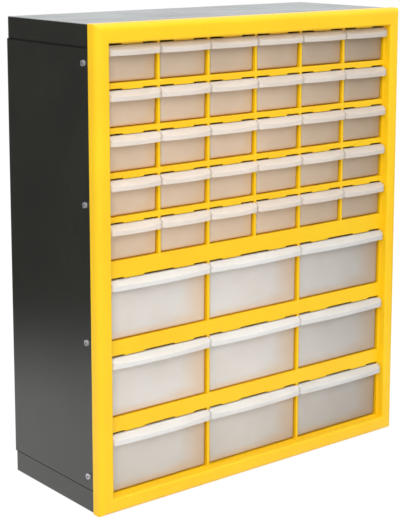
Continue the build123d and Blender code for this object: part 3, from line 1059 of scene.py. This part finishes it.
# ---- front frame -------------------------------------------------------------------------------
@dataclass
class FrontFrame:
    """The moulded frame: a fuller rim round the recess, thin tab slots and eased edges."""

    plastic: bpy.types.Material
    edge: float = 0.3 * MM
    edge_angle: float = 35.0
    rim_face: float = -76.0 * MM
    grid_face: float = -67.8 * MM
    mouth_round: float = 2.0 * MM
    mouth_steps: int = 5
    mouth_angle: float = 60.0
    rest_clearance: float = 0.3 * MM
    near: float = 0.03 * MM
    weld: float = 1e-6
    # Levels of the recess walls in millimetres: in the CAD node, and in the moulding.
    mouth_heights: tuple[Point2, ...] = ((438.0, 434.8), (437.0, 434.4), (14.0, 15.2), (15.0, 15.6))
    mouth_sides: tuple[Point2, ...] = ((176.0, 174.8), (175.0, 174.4))
    # The same for the tops of openings and slots, above the floor of the bay.
    small_tops: tuple[Point2, ...] = ((34.7, 34.0), (37.2, 35.2))
    large_tops: tuple[Point2, ...] = ((60.033, 58.733),)

    def _mouth_moves(self) -> list[Move]:
        """List the moves of the recess walls.

        Returns:
            The axis, the level in the CAD node and the new level of each.
        """
        moves = [("z", old, new) for old, new in self.mouth_heights]
        for side in (-1, 1):
            moves += [("x", side * old, side * new) for old, new in self.mouth_sides]
        return [(axis, old * MM, new * MM) for axis, old, new in moves]

    def _slot_moves(self) -> list[Move]:
        """List the moves of the opening tops and slot tops, from the drawers' own boxes.

        Returns:
            The axis, the level in the CAD node and the new level of each.
        """
        rules = {DrawerKind.SMALL: self.small_tops, DrawerKind.LARGE: self.large_tops}
        moves = []
        for kind, tops in rules.items():
            start = "drawer_" + kind.name.lower()
            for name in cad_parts:
                if name.startswith(start) and name.endswith("_c1"):
                    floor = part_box(name)[0][2] - self.rest_clearance
                    moves += [("z", floor + old * MM, floor + new * MM) for old, new in tops]
        return moves

    def _reshape(self, shell: bmesh.types.BMesh) -> None:
        """Move the recess walls and the slots to their places in the moulding.

        Args:
            shell: The node's mesh, with its doubles merged.
        """
        mouth, slots = self._mouth_moves(), self._slot_moves()
        for vertex in shell.verts:
            place = vertex.co
            front = place.y < self.grid_face + self.near
            for axis, old, new in [*(mouth if front else ()), *slots]:
                if abs(getattr(place, axis) - old) < self.near:
                    setattr(place, axis, new)
                    if axis == "z":
                        break

    def _mark_mouth(self, shell: bmesh.types.BMesh) -> None:
        """Give the recess's front edges a bevel weight, for their rounding.

        Args:
            shell: The moulding's mesh.
        """
        weight = shell.edges.layers.float.new("bevel_weight_edge")
        least = math.radians(self.mouth_angle)
        for edge in shell.edges:
            flush = all(abs(vertex.co.y - self.rim_face) < self.near for vertex in edge.verts)
            if flush and edge.is_manifold and edge.calc_face_angle() > least:
                edge[weight] = 1.0

    def build(self) -> None:
        """Copy the CAD node, merge its loose triangles, reshape it and ease its edges."""
        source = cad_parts["front_frame"]
        mesh = source.data.copy()
        shell = bmesh.new()
        shell.from_mesh(mesh)
        bmesh.ops.remove_doubles(shell, verts=shell.verts, dist=self.weld)
        self._reshape(shell)
        self._mark_mouth(shell)
        shell.to_mesh(mesh)
        shell.free()
        item = mesh_object("front_frame_moulding", mesh)
        mouth = item.modifiers.new("rounded mouth", "BEVEL")
        mouth.width = self.mouth_round
        mouth.segments = self.mouth_steps
        mouth.limit_method = "WEIGHT"
        ease_edges(item, self.edge, self.edge_angle)
        item = flatten(item, "front_frame_moulding")
        dress(item, self.plastic, "frame_plastic", "cabinet", "front_frame")


# ---- steel case and its screws -----------------------------------------------------------------
@dataclass
class Case:
    """The folded wrap and the two trays keep their CAD shape."""

    paint: bpy.types.Material

    def build(self) -> None:
        """Paint the sheet-metal nodes."""
        for name in ("case_wrap", "top_tray", "bottom_tray"):
            repaint(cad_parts[name], self.paint)


class Side(Enum):
    """Sides of the case, each with the way that its screws face along X."""

    LEFT = -1.0
    RIGHT = 1.0


@dataclass
class FrameScrews:
    """The heads of two columns of pan-head screws through the case into the moulding."""

    zinc: bpy.types.Material
    count: int = 4
    head_radius: float = 2.7 * MM
    head_height: float = 1.8 * MM
    head_steps: int = 10
    head_sides: int = 24
    crown_power: float = 4.0
    crown_share: float = 0.5
    cross_length: float = 1.15
    cross_width: float = 0.26
    cross_depth: float = 1.1
    most_turn: float = 1.57
    forward: float = 0.5 * MM
    seed: int = 7

    def _head_tree(self) -> bpy.types.NodeTree:
        """Geometry Nodes: a row of turned pan heads with cross recesses, pointing along X.

        Returns:
            The tree.
        """
        inputs = [
            ("Geometry", "NodeSocketGeometry", None),
            ("Count", "NodeSocketInt", 4),
            ("First", "NodeSocketVector", (0.0, 0.0, 0.0)),
            ("Step", "NodeSocketVector", (0.0, 0.0, 0.1)),
            ("Facing", "NodeSocketFloat", 1.0),
            ("Radius", "NodeSocketFloat", 0.003),
            ("Height", "NodeSocketFloat", 0.002),
            ("Seed", "NodeSocketInt", 0),
            ("Material", "NodeSocketMaterial", None),
        ]
        build, enter, leave = new_group(
            "row of pan heads", "GeometryNodeTree", inputs, [("Geometry", "NodeSocketGeometry")]
        )
        radius, height = enter.outputs["Radius"], enter.outputs["Height"]
        top = build.add("ShaderNodeCombineXYZ", {"Z": height}).outputs[0]
        axis = build.add("GeometryNodeCurvePrimitiveLine", {"End": top})
        path = build.add(
            "GeometryNodeResampleCurve", {"Curve": axis.outputs[0], "Count": self.head_steps}
        )
        along = build.add("GeometryNodeSplineParameter").outputs["Factor"]
        crown = build.math("POWER", along, self.crown_power)
        narrow = build.math("SUBTRACT", 1.0, build.math("MULTIPLY", crown, self.crown_share))
        curve = build.add("GeometryNodeSetCurveRadius", {"Curve": path.outputs[0], "Radius": narrow})
        circle = build.add(
            "GeometryNodeCurvePrimitiveCircle", {"Resolution": self.head_sides, "Radius": radius}
        )
        head = build.add(
            "GeometryNodeCurveToMesh",
            {"Curve": curve.outputs[0], "Profile Curve": circle.outputs[0], "Fill Caps": True},
        )
        long = build.math("MULTIPLY", radius, self.cross_length)
        thin = build.math("MULTIPLY", radius, self.cross_width)
        deep = build.math("MULTIPLY", height, self.cross_depth)
        blades = build.add("GeometryNodeJoinGeometry")
        for size in ({"X": long, "Y": thin, "Z": deep}, {"X": thin, "Y": long, "Z": deep}):
            extent = build.add("ShaderNodeCombineXYZ", size).outputs[0]
            blade = build.add("GeometryNodeMeshCube", {"Size": extent})
            raised = build.add(
                "GeometryNodeTransform", {"Geometry": blade.outputs["Mesh"], "Translation": top}
            )
            build.tree.links.new(raised.outputs[0], blades.inputs[0])
        cut = build.add("GeometryNodeMeshBoolean", operation="DIFFERENCE")
        build.tree.links.new(head.outputs[0], cut.inputs["Mesh 1"])
        build.tree.links.new(blades.outputs[0], cut.inputs["Mesh 2"])
        row = build.add(
            "GeometryNodeMeshLine",
            {
                "Count": enter.outputs["Count"],
                "Start Location": enter.outputs["First"],
                "Offset": enter.outputs["Step"],
            },
        )
        turn = build.add(
            "FunctionNodeRandomValue",
            {"Min": 0.0, "Max": self.most_turn, "Seed": enter.outputs["Seed"]},
        ).outputs["Value"]
        spin = build.add("ShaderNodeCombineXYZ", {"Z": turn}).outputs[0]
        tip = build.math("MULTIPLY", enter.outputs["Facing"], math.pi / 2)
        lean = build.add("ShaderNodeCombineXYZ", {"Y": tip}).outputs[0]
        first_turn = build.add("FunctionNodeEulerToRotation", {0: spin}).outputs[0]
        second_turn = build.add("FunctionNodeEulerToRotation", {0: lean}).outputs[0]
        pose = build.add(
            "FunctionNodeRotateRotation", {"Rotation": first_turn, "Rotate By": second_turn}
        ).outputs[0]
        heads = build.add(
            "GeometryNodeInstanceOnPoints",
            {"Points": row.outputs["Mesh"], "Instance": cut.outputs["Mesh"], "Rotation": pose},
        )
        real = build.add("GeometryNodeRealizeInstances", {"Geometry": heads.outputs["Instances"]})
        painted = build.add(
            "GeometryNodeSetMaterial",
            {"Geometry": real.outputs[0], "Material": enter.outputs["Material"]},
        )
        build.tree.links.new(painted.outputs[0], leave.inputs[0])
        return build.tree

    def build(self) -> None:
        """Make both columns in the places of their CAD nodes."""
        tree = self._head_tree()
        for side in Side:
            node, facing = "frame_screws_" + side.name.lower(), side.value
            low, high = (Vector(corner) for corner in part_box(node))
            outer = high.x if facing > 0 else low.x
            wide = (high.y - low.y) / 2
            seat = outer - facing * self.head_height
            step = (high.z - low.z - 2 * wide) / (self.count - 1)
            values = {
                "Count": self.count,
                "First": Vector((seat, (low.y + high.y) / 2 - self.forward, low.z + wide)),
                "Step": Vector((0, 0, step)),
                "Facing": facing,
                "Radius": self.head_radius,
                "Height": self.head_height,
                "Seed": self.seed,
                "Material": self.zinc,
            }
            item = mesh_object(node + "_row", bpy.data.meshes.new(node + "_row"))
            heads = run_tree(item, tree, values, node + "_heads")
            dress(heads, self.zinc, "screw_steel", "cabinet", node)


# ---- studio ------------------------------------------------------------------------------------
@dataclass(frozen=True)
class Lamp:
    """One soft square lamp: its place and size in metres, and its power in watts."""

    name: str
    place: tuple[float, float, float]
    size: float
    power: float


@dataclass
class Studio:
    """Pale floor, soft lamps and the camera at the photograph's angle."""

    image_height: float = 520.0
    camera_place: tuple[float, float, float] = (-0.8886, -1.0926, 0.5419)
    camera_turn: float = 38.663
    camera_tilt: float = 9.215
    focal_pixels: float = 1422.4
    axis_row: float = 150.0
    sensor: float = 36.0
    floor_size: float = 6.0
    floor_white: float = 0.85
    glow: float = 1.06
    glow_share: float = 0.88
    pool_inner: float = 0.4
    pool_outer: float = 0.75
    pool_light: float = 1.1
    pool_edge: float = 0.02
    ambient: float = 0.6
    dark_side: float = 0.03
    bright_side: float = 1.15
    side_change: Point2 = (-0.3, 0.2)
    side_colour: Colour = (0.95, 0.98, 1.0, 1.0)
    aim_height: float = 0.22
    lamps: tuple[Lamp, ...] = (
        Lamp("key", (-2.1, -2.0, 1.9), 1.6, 46.0),
        Lamp("top", (0.0, -0.5, 2.6), 1.4, 27.0),
    )

    def camera(self) -> None:
        """Place the camera."""
        data = bpy.data.cameras.new("camera")
        data.sensor_width = self.sensor
        data.lens = self.focal_pixels / self.image_height * self.sensor
        data.shift_y = -(self.image_height / 2 - self.axis_row) / self.image_height
        camera = bpy.data.objects.new("camera", data)
        camera.location = self.camera_place
        tilt = math.radians(90 - self.camera_tilt)
        camera.rotation_euler = Euler((tilt, 0, -math.radians(self.camera_turn)))
        bpy.context.scene.collection.objects.link(camera)
        bpy.context.scene.camera = camera

    def floor(self) -> None:
        """Pale floor that looks white to the camera and still takes a soft shadow."""
        half = self.floor_size / 2
        mesh = bpy.data.meshes.new("floor")
        corners = [(-half, -half, 0), (half, -half, 0), (half, half, 0), (-half, half, 0)]
        mesh.from_pydata(corners, [], [(0, 1, 2, 3)])
        floor = mesh_object("floor", mesh)
        material = bpy.data.materials.new("pale floor")
        material.use_nodes = True
        material.node_tree.nodes.clear()
        build = NodeBuilder(material.node_tree)
        white = (self.floor_white,) * 3 + (1.0,)
        plain = build.add("ShaderNodeBsdfDiffuse", {"Color": white})
        path = build.add("ShaderNodeLightPath")
        glow = build.add("ShaderNodeEmission", {"Color": WHITE, "Strength": self.glow})
        seen = build.math("MULTIPLY", path.outputs["Is Camera Ray"], self.glow_share)
        shown = build.add("ShaderNodeMixShader", {0: seen, 1: plain.outputs[0], 2: glow.outputs[0]})
        place = build.add("ShaderNodeTexCoord").outputs["Object"]
        distance = build.add("ShaderNodeVectorMath", {0: place}, operation="LENGTH").outputs["Value"]
        pool = build.span(distance, self.pool_inner, self.pool_outer, self.pool_light, self.pool_edge)
        mirror = build.add("ShaderNodeEmission", {"Color": WHITE, "Strength": pool})
        glossy = path.outputs["Is Glossy Ray"]
        mixed = build.add("ShaderNodeMixShader", {0: glossy, 1: shown.outputs[0], 2: mirror.outputs[0]})
        build.add("ShaderNodeOutputMaterial", {"Surface": mixed.outputs[0]})
        mesh.materials.append(material)

    def world(self) -> None:
        """Even pale surroundings: white to the camera, and dark on the left in reflections."""
        world = bpy.data.worlds.new("studio")
        bpy.context.scene.world = world
        world.use_nodes = True
        world.node_tree.nodes.clear()
        build = NodeBuilder(world.node_tree)
        way = build.add("ShaderNodeTexCoord").outputs["Generated"]
        across = build.add("ShaderNodeSeparateXYZ", {0: way}).outputs["X"]
        side = build.span(across, *self.side_change, self.dark_side, self.bright_side)
        soft = build.add("ShaderNodeBackground", {"Color": WHITE, "Strength": self.ambient})
        mirror = build.add("ShaderNodeBackground", {"Color": self.side_colour, "Strength": side})
        white = build.add("ShaderNodeBackground", {"Color": WHITE, "Strength": 1.0})
        path = build.add("ShaderNodeLightPath")
        glossy = path.outputs["Is Glossy Ray"]
        lit = build.add("ShaderNodeMixShader", {0: glossy, 1: soft.outputs[0], 2: mirror.outputs[0]})
        seen = path.outputs["Is Camera Ray"]
        mixed = build.add("ShaderNodeMixShader", {0: seen, 1: lit.outputs[0], 2: white.outputs[0]})
        build.add("ShaderNodeOutputWorld", {"Surface": mixed.outputs[0]})

    def light(self, lamp: Lamp) -> None:
        """Add one soft lamp that points at the cabinet's middle.

        Args:
            lamp: Its place, size and power.
        """
        data = bpy.data.lights.new(lamp.name, "AREA")
        data.shape = "SQUARE"
        data.size = lamp.size
        data.energy = lamp.power
        item = bpy.data.objects.new(lamp.name, data)
        item.location = lamp.place
        aim = Vector((0, 0, self.aim_height)) - Vector(lamp.place)
        item.rotation_euler = aim.to_track_quat("-Z", "Y").to_euler()
        bpy.context.scene.collection.objects.link(item)

    def build(self) -> None:
        """Set up the whole studio."""
        self.camera()
        self.floor()
        self.world()
        for lamp in self.lamps:
            self.light(lamp)
        bpy.context.scene.view_settings.view_transform = "Standard"


def main() -> None:
    """Build the cabinet and its studio."""
    logging.basicConfig(level=logging.INFO, format="%(name)s: %(message)s")
    effects = SurfaceEffects()
    materials = {kind: kind.value.build(effects) for kind in FinishKind}
    FrontFrame(materials[FinishKind.FRAME]).build()
    Case(materials[FinishKind.CASE]).build()
    Drawers(materials[FinishKind.DRAWER]).build()
    FrameScrews(materials[FinishKind.SCREW]).build()
    Studio().build()


if __name__ == "__main__":
    main()
